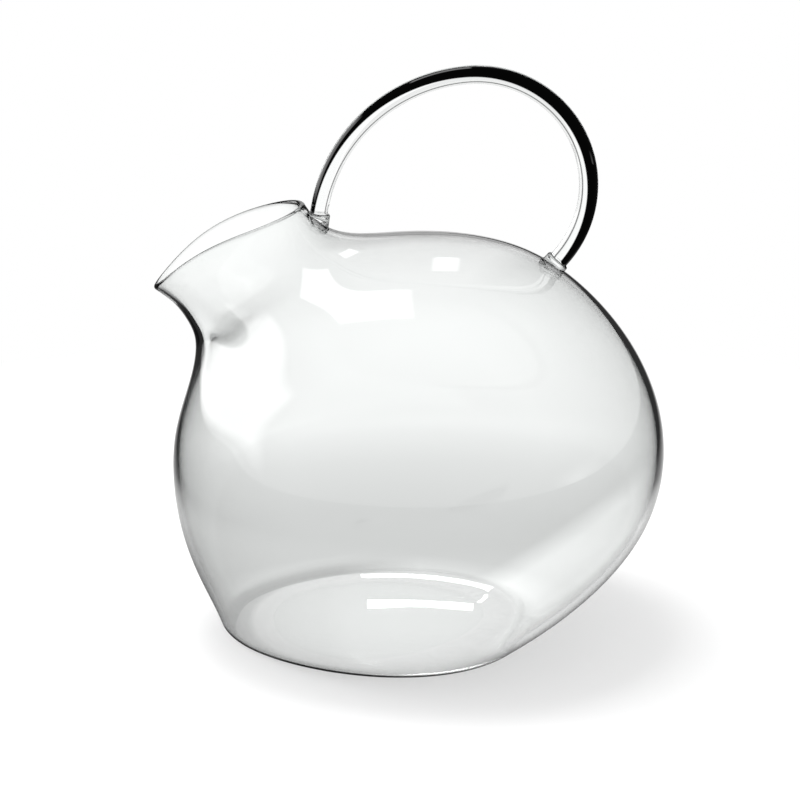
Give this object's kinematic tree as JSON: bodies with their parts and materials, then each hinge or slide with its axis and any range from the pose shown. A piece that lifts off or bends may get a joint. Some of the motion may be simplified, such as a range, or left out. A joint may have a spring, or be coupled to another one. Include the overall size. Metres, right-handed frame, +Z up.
{
  "type": "glass jug",
  "caption": "Clear blown-glass ball jug: a leaning round body on a small flat foot, a slanted oval mouth with a pouring lip, and a glass loop handle welded on at the neck and the shoulder.",
  "frame": {"origin": "middle of the flat ring that the jug stands on, on the table's surface", "axes": "+Z up; -X towards the pouring lip and +X towards the heel below the handle; +Y completes a right-handed frame. The XZ plane is the jug's plane of symmetry and holds the handle."},
  "size_m": [0.1775, 0.172, 0.2018],
  "materials": {
    "glass_body": "clear polished",
    "handle": "clear polished",
    "front_handle_weld": "clear polished",
    "rear_handle_weld": "clear polished"
  },
  "bodies": {
    "root": {"glass_body": "glass_body", "handle": "handle", "front_handle_weld": "front_handle_weld", "rear_handle_weld": "rear_handle_weld"}
  },
  "joints": []
}
